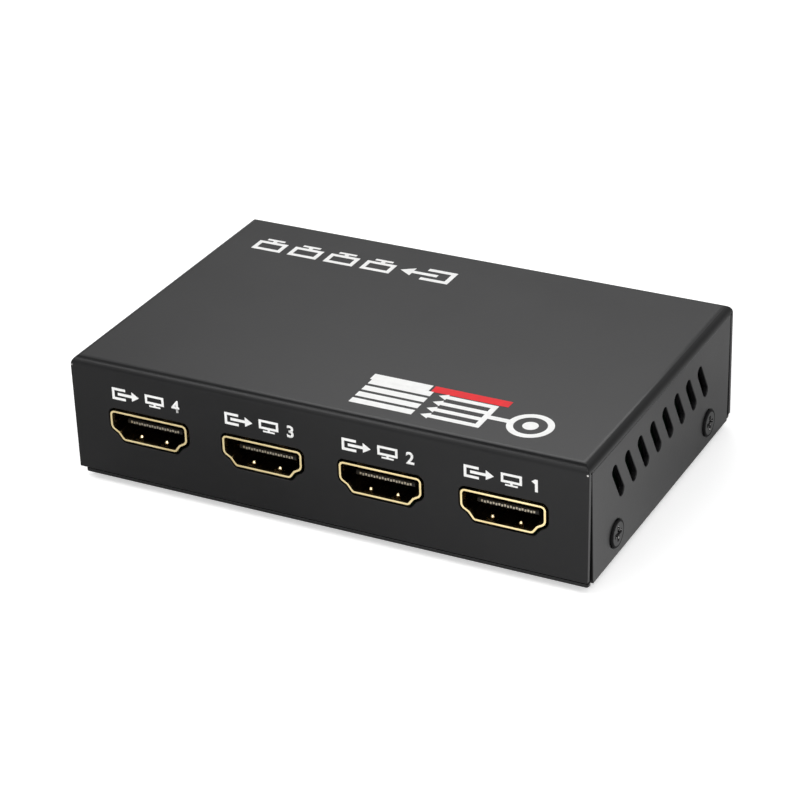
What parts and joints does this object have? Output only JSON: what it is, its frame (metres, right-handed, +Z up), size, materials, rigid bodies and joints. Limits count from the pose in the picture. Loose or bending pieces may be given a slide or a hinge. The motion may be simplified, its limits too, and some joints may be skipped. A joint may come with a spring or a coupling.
{
  "type": "hdmi splitter",
  "caption": "Folded black steel box that copies a video signal from an input socket at the back to a row of output sockets at the front.",
  "frame": {"origin": "on the standing surface, below the middle of the case", "axes": "+X along the case's width, to the right when the outputs are seen from the front; -Y out of the output sockets; +Z up"},
  "size_m": [0.0948, 0.0622, 0.0233],
  "materials": {
    "black_powder_coat": "satin black powder coat on folded steel",
    "black_screws": "black zinc on steel, semi-gloss",
    "zinc_screws": "bright zinc",
    "standoff_brass": "turned brass",
    "foot_rubber": "matte black rubber",
    "solder_mask": "green solder mask over glass-fibre board",
    "gold_plating": "thin bright gold plating on folded steel",
    "socket_resin": "dark moulded resin",
    "gold_contacts": "gold plating on copper alloy",
    "jack_plastic": "black moulded plastic",
    "nickel_plating": "nickel plating",
    "light_lens": "clear tinted epoxy",
    "tinned_leads": "tinned copper",
    "chip_resin": "black moulded epoxy",
    "pad_silicone": "soft grey silicone",
    "sink_aluminium": "black-grey anodised aluminium",
    "crystal_can": "pressed nickel-plated can",
    "ferrite": "dark sintered ferrite",
    "can_aluminium": "bright drawn aluminium",
    "capacitor_ceramic": "tan ceramic with tinned ends",
    "resistor_ceramic": "black glazed ceramic with tinned ends"
  },
  "bodies": {
    "root": {"cover": "black_powder_coat", "base_tray": "black_powder_coat", "cover_screws": "black_screws", "rubber_feet": "foot_rubber", "board_standoffs": "standoff_brass", "board_screws": "zinc_screws", "circuit_board": "solder_mask", "power_socket_housing": "jack_plastic", "power_socket_pin": "nickel_plating", "power_socket_spring": "nickel_plating", "status_lights": "light_lens", "status_light_leads": "tinned_leads", "splitter_chip": "chip_resin", "splitter_chip_leads": "tinned_leads", "thermal_pad": "pad_silicone", "heat_sink": "sink_aluminium", "memory_chip": "chip_resin", "memory_chip_leads": "tinned_leads", "crystal": "crystal_can", "regulator": "chip_resin", "regulator_leads": "tinned_leads", "inductor": "ferrite", "capacitor_cans": "can_aluminium", "capacitor_bases": "jack_plastic", "small_capacitors": "capacitor_ceramic", "line_resistors": "resistor_ceramic", "protection_arrays": "chip_resin", "output_1_shell": "gold_plating", "output_1_insulator": "socket_resin", "output_1_contacts": "gold_contacts", "output_2_shell": "gold_plating", "output_2_insulator": "socket_resin", "output_2_contacts": "gold_contacts", "output_3_shell": "gold_plating", "output_3_insulator": "socket_resin", "output_3_contacts": "gold_contacts", "output_4_shell": "gold_plating", "output_4_insulator": "socket_resin", "output_4_contacts": "gold_contacts", "input_shell": "gold_plating", "input_insulator": "socket_resin", "input_contacts": "gold_contacts"}
  },
  "joints": []
}
